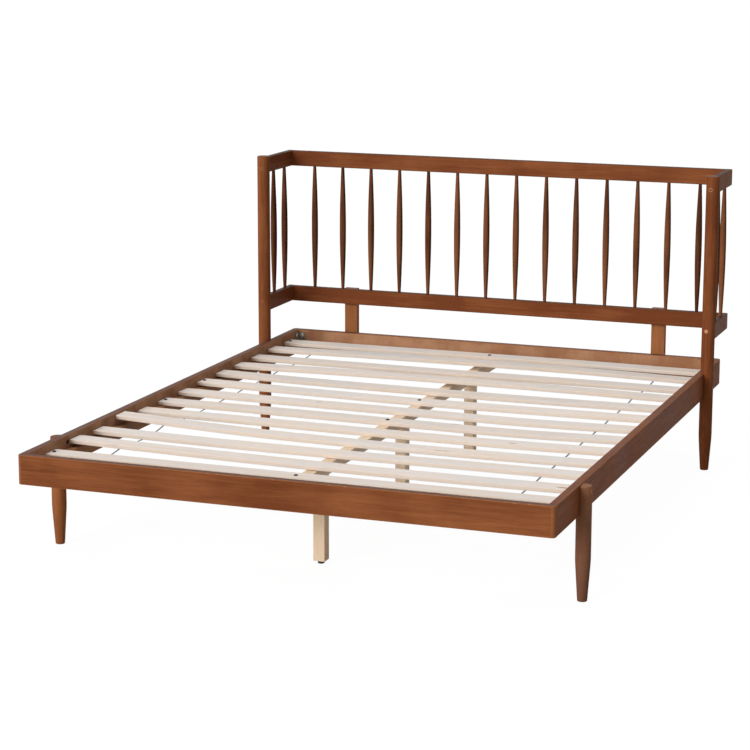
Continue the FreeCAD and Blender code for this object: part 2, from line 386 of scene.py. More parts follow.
@dataclass(frozen=True)
class DarkSteel:
    """Blackened steel of screws and bolts."""

    slot: str
    base: Colour = linear(18, 14, 12)
    rubbed: Colour = linear(46, 40, 35)
    spots: Pattern = Pattern(700.0, 3.0, 0.6)
    rub_share: Span = Span(0.5, 0.7, 0.0, 0.6)
    gloss: Span = Span(0.3, 0.7, 0.36, 0.52)
    depth: float = 0.00004
    reflection: float = 0.2

    def material(self) -> Material:
        """Build the finish.

        Returns:
            Its material.
        """
        shader = Shader(bpy.data.materials.new("dark_" + self.slot))
        spots = shader.noise(shader.place(EVEN), self.spots)
        rub = shader.times(shader.spread(spots, self.rub_share), shader.number("wear"))
        return shader.surface(shader.mix(rub, self.base, self.rubbed), shader.spread(spots, self.gloss), spots,
                              self.depth, Specular_IOR_Level=self.reflection)


@dataclass(frozen=True)
class MouldedPlastic:
    """Black moulded plastic with a fine spark texture."""

    slot: str
    base: Colour = linear(28, 28, 29)
    scuffed: Colour = linear(70, 69, 68)
    spark: Pattern = Pattern(1800.0, 2.0, 0.5)
    scuffs: Pattern = Pattern(260.0, 3.0, 0.6)
    scuff_share: Span = Span(0.60, 0.78, 0.0, 0.5)
    worn_share: float = 0.35
    gloss: Span = Span(0.3, 0.7, 0.46, 0.62)
    depth: float = 0.00006

    def material(self) -> Material:
        """Build the finish.

        Returns:
            Its material.
        """
        shader = Shader(bpy.data.materials.new(self.slot))
        vector = shader.place(EVEN)
        spark = shader.noise(vector, self.spark)
        scuffs = shader.spread(shader.noise(vector, self.scuffs), self.scuff_share)
        colour = shader.mix(scuffs, self.base, self.scuffed)
        colour = shader.mix(shader.times(shader.number("wear"), self.worn_share), colour, self.scuffed)
        return shader.surface(colour, shader.spread(spark, self.gloss), spark, self.depth)


@dataclass(frozen=True)
class WovenTape:
    """Narrow dark grey webbing."""

    slot: str
    base: Colour = linear(62, 60, 60)
    thread: Colour = linear(104, 101, 98)
    thread_scale: float = 320.0
    fuzz: Pattern = Pattern(900.0, 3.0, 0.6)
    fuzz_shade: Span = Span(0.3, 0.7, 0.85, 1.12)
    roughness: float = 0.85
    depth: float = 0.0002
    sheen: float = 0.3
    reflection: float = 0.2

    def material(self) -> Material:
        """Build the finish.

        Returns:
            Its material.
        """
        shader = Shader(bpy.data.materials.new(self.slot))
        vector = shader.place(EVEN)
        weave = shader.times(*(
            shader.node("TexWave", {"Vector": vector, "Scale": self.thread_scale}, wave_type="BANDS",
                        bands_direction=axis).outputs[1] for axis in "XY"))
        colour = shader.mix(weave, self.base, self.thread)
        colour = shader.shade(colour, shader.spread(shader.noise(vector, self.fuzz), self.fuzz_shade))
        return shader.surface(colour, self.roughness, weave, self.depth, Sheen_Weight=self.sheen,
                              Specular_IOR_Level=self.reflection)


class Piece:
    """One mesh in the making, which becomes an object that rides on its body."""

    def __init__(self, name: str, slot: str, material: Material, tone: float = 0.0) -> None:
        """Start an empty mesh.

        Args:
            name: The piece's name.
            slot: The record's material slot.
            material: The material.
            tone: How much lighter or darker than its fellows the piece is.
        """
        self.name = name
        self.slot = slot
        self.material = material
        self.tone = tone
        self.mesh = bmesh.new()
        self.hold_values()

    def hold_values(self) -> None:
        """Give the faces each value that a finish reads, where they don't have it yet."""
        layers = self.mesh.faces.layers.float
        for name in ("wear", "thin", "settled"):
            if layers.get(name) is None:
                layers.new(name)

    def mark(self, faces: Iterable[Face], amount: float = 1.0, name: str = "wear") -> None:
        """Note a value of some faces for the finish.

        Args:
            faces: The faces.
            amount: The value.
            name: Which of the finish's values it is.
        """
        layer = self.mesh.faces.layers.float.get(name)
        for face in faces:
            face[layer] = amount

    def facing(self, *direction: float) -> list[Face]:
        """Return the faces that face a direction."""
        return [face for face in self.mesh.faces if face.normal.dot(direction) > FACING]

    def since(self, before: set[Vert]) -> list[Vert]:
        """Return the vertices that weren't there before."""
        return [vert for vert in self.mesh.verts if vert not in before]

    def block(self, lo: Vector, hi: Vector) -> None:
        """Add a box between its lowest and its highest corner.

        Args:
            lo: The lowest corner.
            hi: The highest corner.
        """
        verts = bmesh.ops.create_cube(self.mesh, size=1.0)["verts"]
        bmesh.ops.scale(self.mesh, vec=hi - lo, verts=verts)
        bmesh.ops.translate(self.mesh, vec=(hi + lo) / 2, verts=verts)

    def ease(self, edges: Iterable[bmesh.types.BMEdge], radius: float, segments: int = 3, wear: float = 1.0) -> None:
        """Round some edges and note them as worn.

        Args:
            edges: The edges.
            radius: The rounding's size.
            segments: The rounding's steps.
            wear: How worn the rounding is.
        """
        made = bmesh.ops.bevel(
            self.mesh, geom=list(edges), offset=radius, offset_type="OFFSET", segments=segments,
            profile=0.5, affect="EDGES", clamp_overlap=True, material=-1)
        self.mark(made["faces"], wear)

    def edges_along(self, axis: int) -> list[bmesh.types.BMEdge]:
        """Return the edges that run along an axis."""
        runs = ((edge, edge.verts[1].co - edge.verts[0].co) for edge in self.mesh.edges)
        return [edge for edge, run in runs if abs(run[axis]) > ALONG * run.length]

    def slice(self, place: Sequence[float], direction: Sequence[float]) -> None:
        """Cut all faces along a plane.

        Args:
            place: A place on the plane.
            direction: The way that the plane faces.
        """
        mesh = self.mesh
        bmesh.ops.bisect_plane(mesh, geom=mesh.verts[:] + mesh.edges[:] + mesh.faces[:], plane_co=place,
                               plane_no=direction)

    def put(self, verts: list[Vert], place: Vector, facing: Vector) -> None:
        """Move upright vertices to a place and let them face a direction."""
        turn = facing.to_track_quat("Z", "Y").to_matrix().to_4x4()
        bmesh.ops.transform(self.mesh, matrix=Matrix.Translation(place) @ turn, verts=verts)

    def turn(self, outline: Sequence[tuple[float, float]], place: Vector, steps: int, facing: Vector = UP) -> None:
        """Add a turned shape.

        Args:
            outline: Radius and height of each point, from the bottom of the axis to its top.
            place: Where the axis starts.
            steps: The number of steps in a full turn.
            facing: The axis' direction.
        """
        before = set(self.mesh.verts)
        verts = [self.mesh.verts.new((radius, 0.0, height)) for radius, height in outline]
        edges = [self.mesh.edges.new(pair) for pair in zip(verts, verts[1:])]
        bmesh.ops.spin(self.mesh, geom=verts + edges, cent=(0, 0, 0), axis=UP, dvec=(0, 0, 0),
                       angle=math.tau, steps=steps, use_merge=True, use_duplicate=False)
        bmesh.ops.remove_doubles(self.mesh, verts=self.since(before), dist=SAME)
        made = self.since(before)
        self.face_outwards(made)
        self.put(made, place, facing)

    def face_outwards(self, verts: list[Vert]) -> None:
        """Turn the faces of a closed shape outwards."""
        bmesh.ops.recalc_face_normals(self.mesh, faces=list({face for vert in verts for face in vert.link_faces}))

    def disc(self, radius: float, steps: int) -> Face:
        """Add an upward disc.

        Args:
            radius: Its radius.
            steps: The number of its corners.

        Returns:
            Its face.
        """
        made = bmesh.ops.create_circle(self.mesh, cap_ends=True, radius=radius, segments=steps)
        face = made["verts"][0].link_faces[0]
        if face.normal.z < 0:
            face.normal_flip()
        return face

    def inset(self, face: Face, thickness: float) -> list[Face]:
        """Set a face in on all sides, and return the faces made around it."""
        return bmesh.ops.inset_individual(self.mesh, faces=[face], thickness=thickness, depth=0.0)["faces"]

    def ring(self, face: Face, thickness: float, radius: float, share: float, height: float,
             wear: float = 1.0) -> None:
        """Set a ring into a disc, so that its face becomes smaller and lies higher.

        Args:
            face: The disc's face.
            thickness: How far it is set in before it is moved.
            radius: The disc's radius.
            share: The face's new radius, as a share of the disc's.
            height: The face's new height.
            wear: How worn the ring is.
        """
        self.mark(self.inset(face, thickness), wear)
        for vert in face.verts:
            vert.co = Vector((vert.co.x, vert.co.y, 0)).normalized() * radius * share + Vector((0, 0, height))

    def cutter(self) -> "Piece":
        """Return an empty piece whose shape will be cut out of this one."""
        return Piece(self.name + "_cutter", self.slot, self.material)

    def cut(self, cutter: "Piece") -> None:
        """Cut another piece's shape out of the mesh.

        Args:
            cutter: The piece that is cut out.
        """
        tool = new_object("cutter", cutter.plain_mesh())
        body = new_object("body", self.plain_mesh())
        modifier = body.modifiers.new("cut", "BOOLEAN")
        modifier.operation, modifier.solver, modifier.object = "DIFFERENCE", "EXACT", tool
        result = bpy.data.meshes.new_from_object(body.evaluated_get(bpy.context.evaluated_depsgraph_get()))
        self.mesh.free()
        cutter.mesh.free()
        self.mesh = bmesh.new()
        self.mesh.from_mesh(result)
        self.hold_values()
        for item in (tool, body):
            bpy.data.objects.remove(item)

    def plain_mesh(self) -> bpy.types.Mesh:
        """Copy the mesh as it stands.

        Returns:
            The copy.
        """
        mesh = bpy.data.meshes.new(self.name)
        self.mesh.to_mesh(mesh)
        return mesh

    def finish(self, *replaced: str, body: str = BODY, smooth: bool = False) -> None:
        """Make the object, dress it and let it ride.

        Args:
            replaced: The frame's nodes that the piece stands for.
            body: The body that it rides on.
            smooth: Whether its curved faces are shaded smooth.
        """
        draws = chance(self.name)
        shift = self.mesh.verts.layers.float_vector.new("shift")
        tone = self.mesh.verts.layers.float.new("tone")
        move = Vector([draws.uniform(-SHIFT_REACH, SHIFT_REACH) for _ in range(3)])
        for vert in self.mesh.verts:
            vert[shift] = move
            vert[tone] = self.tone
        mesh = self.plain_mesh()
        self.mesh.free()
        mesh.materials.clear()
        mesh.materials.append(self.material)
        if smooth:
            mesh.shade_smooth()
            mesh.set_sharp_from_angle(angle=SMOOTH_ANGLE)
        piece = new_object(self.name, mesh)
        if replaced:
            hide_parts(*replaced)
        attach(piece, body)
        log.info("%s: %d faces", self.name, len(mesh.polygons))


@dataclass
class Timber:
    """Straight boards with eased edges, cut from one finish."""

    finish: StainedWood | PlainWood
    edge_radius: float = 0.0025
    tone_reach: float = 0.05
    # Listed tones per piece, many of them painted light or shade; other pieces take a chance tone
    tones: dict[str, float] = field(default_factory=dict)
    # Share of painted shade on each board's upper face
    dusk: float = 0.0
    material: Material = field(init=False)

    def __post_init__(self) -> None:
        """Make the material once for all boards."""
        self.material = self.finish.material()

    def start(self, name: str) -> Piece:
        """Return an empty piece of this timber, in its listed tone, which is often painted light or shade, or else in a
        chance one.
        """
        tone = self.tones.get(name, chance("tone " + name).uniform(-self.tone_reach, self.tone_reach))
        return Piece(name, self.finish.slot, self.material, tone)

    def shape(self, name: str, box: Corners | None = None) -> Piece:
        """Return an unfinished board with its long edges eased.

        Args:
            name: The node that the board stands for.
            box: The board's corners, where they aren't the node's.

        Returns:
            The board.
        """
        lo, hi = box or node_box(name)
        piece = self.start(name + "_board")
        piece.block(lo, hi)
        length = max(range(3), key=lambda axis: hi[axis] - lo[axis])
        piece.ease(piece.edges_along(length), self.edge_radius)
        self.settle(piece)
        return piece

    def settle(self, piece: Piece, share: float = 1.0) -> None:
        """Note a share of the timber's painted shade on a board's upper face."""
        piece.mark(piece.facing(*UP), self.dusk * share, "settled")

    def board(self, name: str, box: Corners | None = None) -> None:
        """Build a finished board that stands for a node, in the node's box or another."""
        self.shape(name, box).finish(name)


class Recess(Enum):
    """What a driver fits into, and how much narrower its bottom is than its mouth."""

    CROSS = 0.6
    HEXAGON = 0.97

    def reach(self, angle: float) -> float:
        """Return how far the recess reaches from the middle in a direction.

        Args:
            angle: The direction.

        Returns:
            The reach, as a share of the head's radius.
        """
        if self is Recess.CROSS:
            core, arm, sharpness = 0.14, 0.36, 6
            return core + arm * abs(math.cos(2 * angle)) ** sharpness
        side, flat = math.pi / 3, 0.46
        return flat / math.cos(angle % side - side / 2)


@dataclass
class Screws:
    """Screw heads with a cross recess, bolt heads with a hexagon recess, and the wood plugs over others."""

    dark: DarkSteel
    bright: PlatedSteel
    plug_wood: StainedWood
    pan_radius: float = 0.0058
    pan_rise: float = 0.0030
    # Share of the radius, and share of the rise, of each ring of a pan head from the rim inwards
    pan_crown: Pairs = ((1.0, 0.35), (0.96, 0.62), (0.84, 0.84), (0.64, 0.97), (0.58, 1.0))
    bolt_radius: float = 0.0062
    bolt_crown: Pairs = ((1.0, 0.0026), (0.9, 0.0032), (0.6, 0.0033))
    bolt_depth: float = 0.0045
    bore_room: float = 0.002
    bore_steps: int = 32
    recess_depth: float = 0.45
    sides: int = 24
    # How far a ring is set in before it is moved, as a share of the radius: on a head, and for finer work
    ring_inset: float = 0.05
    fine_inset: float = 0.02
    plug_radius: float = 0.0066
    plug_steps: int = 32
    plug_rim_rings: int = 2
    # Share of the radius, and height, of each ring of a plug
    plug_rings: Pairs = (
        (0.97, 0.0003), (0.74, 0.0003), (0.68, 0.0001), (0.62, 0.0003), (0.42, 0.0004), (0.22, 0.0004), (0.08, 0.0004))
    dark_material: Material = field(init=False)
    bright_material: Material = field(init=False)
    plug_material: Material = field(init=False)

    def __post_init__(self) -> None:
        """Make the materials once."""
        self.dark_material = self.dark.material()
        self.bright_material = self.bright.material()
        self.plug_material = self.plug_wood.material()

    def head(self, piece: Piece, radius: float, crown: Sequence[tuple[float, float]], recess: Recess,
             place: Vector, facing: Vector) -> None:
        """Add a head with a recess.

        Args:
            piece: The piece to add to.
            radius: The head's radius.
            crown: Share of the radius, and height above the rim, of each ring from the rim inwards.
            recess: The recess' kind.
            place: The middle of the head's rim.
            facing: The way that the head faces.
        """
        before = set(piece.mesh.verts)
        face = piece.disc(radius, self.sides)
        for share, height in crown:
            piece.ring(face, radius * self.ring_inset, radius, share, height)
        top = crown[-1][1]
        piece.inset(face, radius * self.fine_inset)
        for vert in face.verts:
            angle = math.atan2(vert.co.y, vert.co.x)
            reach = radius * recess.reach(angle)
            vert.co = Vector((math.cos(angle) * reach, math.sin(angle) * reach, top))
        piece.inset(face, 0.0)
        for vert in face.verts:
            vert.co = Vector((vert.co.x * recess.value, vert.co.y * recess.value, top - radius * self.recess_depth))
        piece.put(piece.since(before), place, facing)

    def raised(self, name: str, place: Vector) -> None:
        """Build a dark pan head that stands on the wood.

        Args:
            name: The piece's name.
            place: The middle of the head, on the wood's face.
        """
        piece = Piece(name, STEEL_SLOT, self.dark_material)
        self.pan(piece, place, UP)
        piece.finish(smooth=True)

    def pan(self, piece: Piece, place: Vector, facing: Vector) -> None:
        """Add a pan head to a piece, with the middle of its underside at a place."""
        crown = [(share, self.pan_rise * rise) for share, rise in self.pan_crown]
        self.head(piece, self.pan_radius, crown, Recess.CROSS, place, facing)

    def bolt(self, name: str, place: Vector, facing: Vector) -> None:
        """Build a dark bolt head that lies at the bottom of its bore.

        Args:
            name: The piece's name.
            place: The middle of the bore's bottom.
            facing: The way that the head faces.
        """
        piece = Piece(name, STEEL_SLOT, self.dark_material)
        self.head(piece, self.bolt_radius, self.bolt_crown, Recess.HEXAGON, place, facing)
        piece.finish()

    def bolted(self, piece: Piece, node: str, label: str, places: Sequence[Vector], radius: float,
               facing: Vector) -> None:
        """Bore a board and finish it, and lay a bolt at the bottom of each bore.

        Args:
            piece: The board.
            node: The node that it stands for.
            label: The start of the bolts' names.
            places: The middles of the bores' mouths.
            radius: The bores' radius.
            facing: The way that their mouths face.
        """
        cutter, depth, room = piece.cutter(), self.bolt_depth, self.bore_room
        for place in places:
            cutter.turn([(0, -depth), (radius, -depth), (radius, room), (0, room)], place, self.bore_steps, facing)
        piece.cut(cutter)
        piece.finish(node)
        for number, place in enumerate(places, 1):
            self.bolt("%s_bolt_%d" % (label, number), place - facing * depth, facing)

    def plug(self, name: str, place: Vector, facing: Vector, round_radius: float, rim: float = 1.0,
             pale: float = 0.0) -> None:
        """Build a wood plug with a pale rim, let into a round leg.

        Args:
            name: The piece's name.
            place: The middle of the plug, on the leg's face.
            facing: The way that the plug faces.
            round_radius: The leg's radius.
            rim: How pale its rim is.
            pale: How pale it is inside the rim.
        """
        piece = Piece(name, "turned_wood", self.plug_material)
        radius = self.plug_radius
        face = piece.disc(radius, self.plug_steps)
        for number, (share, height) in enumerate(self.plug_rings):
            wear = rim if number < self.plug_rim_rings else pale
            piece.ring(face, radius * self.fine_inset, radius, share, height, wear)
        sideways = UP.cross(facing)
        for vert in piece.mesh.verts:
            depth = math.sqrt(round_radius**2 - vert.co.x**2) - round_radius
            vert.co = place + sideways * vert.co.x + Vector((0, 0, vert.co.y)) + facing * (depth + vert.co.z)
        piece.finish(smooth=True)


@dataclass
class Platform:
    """The rails, with the bolts that hold the legs, and the ledges inside them."""

    across: Timber
    lengthwise: Timber
    ledge: Timber
    screws: Screws
    corner_radius: float = 0.012
    corner_steps: int = 8
    corner_wear: float = 0.9
    thin_across: float = 1.0
    thin_lengthwise: float = 1.3
    leg_bolt_height: float = 0.3145
    post_bolt_height: float = 0.284
    leg_radius: float = 0.022
    bolt_bore: float = 0.0075
    # Share of painted shade on each side rail's upper face
    settled: dict[str, float] = field(default_factory=lambda: {"left": 1.0, "right": 0.3})

    def end_rail(self, node: str) -> None:
        """Build an end rail, with rounded outer corners, eased edges and a thinly stained inner face.

        Args:
            node: The rail's node.
        """
        lo, hi = node_box(node)
        outer_y, inward = (lo.y, 1) if lo.y < 0 else (hi.y, -1)
        piece = self.across.start(node + "_board")
        piece.block(lo, hi)
        corners = [e for e in piece.edges_along(2) if abs(e.verts[0].co.y - outer_y) < SAME]
        piece.ease(corners, self.corner_radius, self.corner_steps, self.corner_wear)
        level = [e for e in piece.mesh.edges if abs(e.verts[0].co.z - e.verts[1].co.z) < SAME]
        piece.ease(level, self.across.edge_radius)
        piece.mark(piece.facing(0, inward, 0), self.thin_across, "thin")
        self.across.settle(piece)
        piece.finish(node)

    def side_rail(self, side: str, sign: int) -> None:
        """Build a side rail with the bored bolts of its foot leg and its post.

        Args:
            side: The rail's side.
            sign: The side's direction along x.
        """
        node = side + "_side_rail"
        lo, hi = node_box(node)
        inner_x = sign * min(abs(lo.x), abs(hi.x))
        inward = Vector((-sign, 0, 0))
        piece = self.lengthwise.shape(node)
        piece.mark(piece.facing(*inward), self.thin_lengthwise, "thin")
        self.lengthwise.settle(piece, self.settled[side])
        places = [Vector((inner_x, node_box(leg)[0].y + self.leg_radius, height)) for leg, height in (
            ("foot_legs", self.leg_bolt_height), (side + "_headboard_post", self.post_bolt_height))]
        self.screws.bolted(piece, node, side + "_rail", places, self.bolt_bore, inward)

    def build(self) -> None:
        """Build the four rails and both ledges."""
        for node in ("foot_rail", "head_rail"):
            self.end_rail(node)
        for side, sign in SIDES:
            self.side_rail(side, sign)
            self.ledge.board(side + "_slat_ledge")


@dataclass
class SlatDeck:
    """The slats, each a little bowed, their tapes and the dark screws in four of them."""

    timber: Timber
    tape: WovenTape
    screws: Screws
    stations: int = 32
    side_wear: float = 0.8
    screwed: tuple[int, ...] = (1, 6, 8, 13)
    screw_end_distance: float = 0.011
    tape_width: float = 0.005
    tape_sag: float = 0.0012
    tape_stations: tuple[float, ...] = (0.0, 0.25, 0.5, 0.75, 1.0)
    # Millimetres that each slat's left end, left quarter, middle, right quarter and right end lie too high
    bows: tuple[tuple[float, ...], ...] = (
        (2.0, 0.5, 0.0, 0.5, 1.5), (11.0, 3.5, -1.5, -2.5, -1.0), (5.0, -0.5, -2.0, -0.5, 0.0),
        (20.0, 3.5, -3.0, -4.0, -1.0), (2.5, 0.0, -3.0, -4.0, 0.5), (1.0, -0.5, -3.0, -5.5, 1.0),
        (2.0, -1.0, -3.0, -5.0, 0.0), (5.0, 0.0, -3.0, -1.5, 1.0), (5.0, 0.0, -1.5, -1.0, 2.0),
        (3.0, 8.0, 9.5, 8.5, 4.0), (2.0, 1.5, 1.0, 2.0, 1.5), (4.0, 9.0, 10.5, 9.5, 4.0),
        (1.0, 2.0, 3.0, 3.0, 1.0),
    )

    def lift(self, number: int, share: float) -> float:
        """Return how far a slat lies too high at a place along it, on a smooth curve through its bows.

        Args:
            number: The slat's number.
            share: The place, from 0 at the left end to 1 at the right end.

        Returns:
            The lift in metres.
        """
        knots = self.bows[number - 1]
        place = min(max(share, 0.0), 1.0) * (len(knots) - 1)
        first = min(int(place), len(knots) - 2)
        t = place - first
        a, b = knots[first], knots[first + 1]
        before = knots[first - 1] if first > 0 else 2 * a - b
        after = knots[first + 2] if first + 2 < len(knots) else 2 * b - a
        slope_a, slope_b = (b - before) / 2, (after - a) / 2
        height = ((2 * t**3 - 3 * t**2 + 1) * a + (t**3 - 2 * t**2 + t) * slope_a
                  + (3 * t**2 - 2 * t**3) * b + (t**3 - t**2) * slope_b)
        return height / 1000

    def slat(self, number: int) -> None:
        """Build a slat that bows between its ledges and the beam.

        Args:
            number: The slat's number, from the foot.
        """
        node = "slat_%02d" % number
        lo, hi = node_box(node)
        piece = self.timber.shape(node)
        for step in range(1, self.stations):
            piece.slice((lo.x + (hi.x - lo.x) * step / self.stations, 0, 0), (1, 0, 0))
        for direction in (-1, 1):
            piece.mark(piece.facing(0, direction, 0), self.side_wear)
        for vert in piece.mesh.verts:
            vert.co.z += self.lift(number, (vert.co.x - lo.x) / (hi.x - lo.x))
        piece.finish(node)
        if number in self.screwed:
            for place, x in (("left", lo.x + self.screw_end_distance), ("middle", 0.0),
                             ("right", hi.x - self.screw_end_distance)):
                height = hi.z + self.lift(number, (x - lo.x) / (hi.x - lo.x))
                self.screws.raised("%s_%s_screw" % (node, place), Vector((x, (lo.y + hi.y) / 2, height)))

    def tapes(self) -> None:
        """Build both tapes, fixed under each slat and slack between them."""
        lo, hi = node_box("slat_tapes")
        material = self.tape.material()
        slats = [node_box("slat_%02d" % number) for number in range(1, len(self.bows) + 1)]
        for side, near_x in (("left", lo.x), ("right", hi.x - self.tape_width)):
            piece = Piece(side + "_slat_tape", self.tape.slot, material)
            piece.block(Vector((near_x, lo.y, lo.z)), Vector((near_x + self.tape_width, hi.y, hi.z)))
            share_x = (near_x - slats[0][0].x) / (slats[0][1].x - slats[0][0].x)
            for before, after in zip(slats, slats[1:]):
                for share in self.tape_stations:
                    piece.slice((0, before[1].y + (after[0].y - before[1].y) * share, 0), (0, 1, 0))
            for vert in piece.mesh.verts:
                vert.co.z += self.tape_lift(vert.co.y, share_x, slats)
            piece.finish("slat_tapes")

    def tape_lift(self, y: float, share_x: float, slats: Sequence[Corners]) -> float:
        """Return how far a tape lies above its node, where it follows the slats and sags between them.

        Args:
            y: The place along the bed.
            share_x: The tape's place along the slats.
            slats: The slats' corners, from the foot.

        Returns:
            The height in metres.
        """
        if y <= slats[0][1].y:
            return self.lift(1, share_x)
        for number, (before, after) in enumerate(zip(slats, slats[1:]), 1):
            share = (y - before[1].y) / (after[0].y - before[1].y)
            if share <= 1.0:
                share = max(share, 0.0)
                near, far = self.lift(number, share_x), self.lift(number + 1, share_x)
                return near + (far - near) * share - self.tape_sag * math.sin(math.pi * share)
            if y <= after[1].y:
                return self.lift(number + 1, share_x)
        return self.lift(len(slats), share_x)

    def build(self) -> None:
        """Build the slats with their screws, and the tapes."""
        for number in range(1, len(self.bows) + 1):
            self.slat(number)
        self.tapes()


@dataclass
class Brackets:
    """Angle brackets with their pan head screws."""

    screws: Screws
    wall: float = 0.0025
    screw_distance: float = 0.0165
    corner_drops: tuple[float, float] = (0.010, 0.040)
    beam_height: float = 0.026

    def pair(self, piece: Piece, corner: Vector, along: Vector, height: float) -> None:
        """Add two screws at one height of a bracket, one in each of its leaves.

        Args:
            piece: The piece to add to.
            corner: The inner corner that the bracket lies in.
            along: The directions of its leaves along x and y.
            height: The screws' height.
        """
        for out, facing in (((self.screw_distance, self.wall), (0, along.y, 0)),
                            ((self.wall, self.screw_distance), (along.x, 0, 0))):
            place = corner + Vector((along.x * out[0], along.y * out[1], height - corner.z))
            self.screws.pan(piece, place, Vector(facing))

    def build(self) -> None:
        """Dress the brackets' node and put screws through both leaves of each."""
        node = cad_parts["angle_brackets"]
        node.data.materials.clear()
        node.data.materials.append(self.screws.bright_material)
        lo, hi = node_box("angle_brackets")
        beam_lo, beam_hi = node_box("centre_beam")
        corners = Piece("corner_bracket_screws", STEEL_SLOT, self.screws.bright_material)
        beams = Piece("beam_bracket_screws", STEEL_SLOT, self.screws.bright_material)
        for y, inward in ((lo.y, 1), (hi.y, -1)):
            for x, aside in ((lo.x, 1), (hi.x, -1)):
                for drop in self.corner_drops:
                    self.pair(corners, Vector((x, y, hi.z)), Vector((aside, inward, 0)), hi.z - drop)
            for x, aside in ((beam_lo.x, -1), (beam_hi.x, 1)):
                self.pair(beams, Vector((x, y, lo.z)), Vector((aside, inward, 0)), lo.z + self.beam_height / 2)
        corners.finish(smooth=True)
        beams.finish(smooth=True)


@dataclass
class CentreSupport:
    """The beam, the square legs under it, and their glides on threaded stems."""

    beam: Timber
    leg: Timber
    plastic: MouldedPlastic
    steel: PlatedSteel
    plastic_material: Material = field(init=False)
    steel_material: Material = field(init=False)
    beam_room: float = 0.003
    pad_height: float = 0.008
    pad_steps: int = 48
    # How far in from the pad's rim, and how far up or down from its faces, the points of its outline lie
    pad_bottom: Pairs = ((0.0015, 0.0), (0.0004, 0.0005), (0.0, 0.0016))
    pad_top: Pairs = ((0.0, 0.0022), (0.0006, 0.0010), (0.0022, 0.0002), (0.004, 0.0))
    core_radius: float = 0.0033
    core_steps: int = 24
    core_ease: float = 0.001
    thread_radius: float = 0.004
    thread_pitch: float = 0.00125
    # Half of the thread's width, as a share of its pitch
    thread_half: float = 0.45
    thread_root: float = 0.0002
    thread_steps: int = 20
    flange_radius: float = 0.0095
    flange_height: float = 0.0012
    # How far along and how far up the flange's lower corner is cut away
    flange_corner: tuple[float, float] = (0.0006, 0.0005)
    flange_steps: int = 36
    leg_end_height: float = 0.010

    def __post_init__(self) -> None:
        """Make both materials once."""
        self.plastic_material = self.plastic.material()
        self.steel_material = self.steel.material()

    def glide(self, place: str, body: str) -> None:
        """Build a glide's pad and its threaded stem, and the flange of the insert that the stem screws into.

        Args:
            place: The leg that the glide belongs to.
            body: The body that it rides on.
        """
        lo, hi = node_box(place + "_glide")
        radius, top = (hi.x - lo.x) / 2, self.pad_height
        axis = Vector(((hi.x + lo.x) / 2, (hi.y + lo.y) / 2, 0))
        pad = Piece(place + "_glide_pad", self.plastic.slot, self.plastic_material)
        pad.turn([(0, 0), *((radius - inset, up) for inset, up in self.pad_bottom),
                  *((radius - inset, top - down) for inset, down in self.pad_top), (0, top)], axis, self.pad_steps)
        pad.finish(place + "_glide", body=body, smooth=True)
        stem = Piece(place + "_glide_stem", STEEL_SLOT, self.steel_material)
        core, ease = self.core_radius, self.core_ease
        stem.turn([(0, top - ease), (core, top - ease), (core, hi.z - ease), (core - ease, hi.z), (0, hi.z)],
                  axis, self.core_steps)
        self.thread(stem, axis, top, hi.z - ease)
        stem.finish(place + "_glide", body=body, smooth=True)
        insert = Piece(place + "_leg_insert", STEEL_SLOT, self.steel_material)
        high, low = self.leg_end_height, self.leg_end_height - self.flange_height
        inner, outer = self.thread_radius + self.thread_root, self.flange_radius
        aside, up = self.flange_corner
        insert.turn([(inner, high), (inner, low), (outer - aside, low), (outer, low + up), (outer, high),
                     (inner, high)], axis, self.flange_steps)
        insert.finish(smooth=True)

    def thread(self, stem: Piece, axis: Vector, low: float, high: float) -> None:
        """Wind a thread around a stem.

        Args:
            stem: The stem.
            axis: The stem's axis.
            low: The height that the thread starts at.
            high: The height that it ends at.
        """
        mesh, steps, half = stem.mesh, self.thread_steps, self.thread_pitch * self.thread_half
        before = set(mesh.verts)
        turns = int((high - low - 2 * half) / self.thread_pitch)
        root = self.core_radius - self.thread_root
        verts = [mesh.verts.new((x, 0.0, z)) for x, z in (
            (root, low), (self.thread_radius, low + half), (root, low + 2 * half))]
        face = mesh.faces.new(verts)
        bmesh.ops.spin(mesh, geom=[face] + list(face.edges) + verts, cent=(0, 0, 0), axis=UP,
                       dvec=(0, 0, self.thread_pitch / steps), angle=math.tau * turns,
                       steps=steps * turns, use_merge=False, use_duplicate=False)
        made = stem.since(before)
        stem.face_outwards(made)
        bmesh.ops.translate(mesh, vec=axis, verts=made)

    def build(self) -> None:
        """Build the beam, three legs and three glides."""
        lo, hi = node_box("centre_beam")
        self.beam.board("centre_beam", (lo, hi - Vector((0, 0, self.beam_room))))
        for place in ("foot", "middle", "head"):
            self.leg.board(place + "_centre_leg")
            self.glide(place, place + "_level")


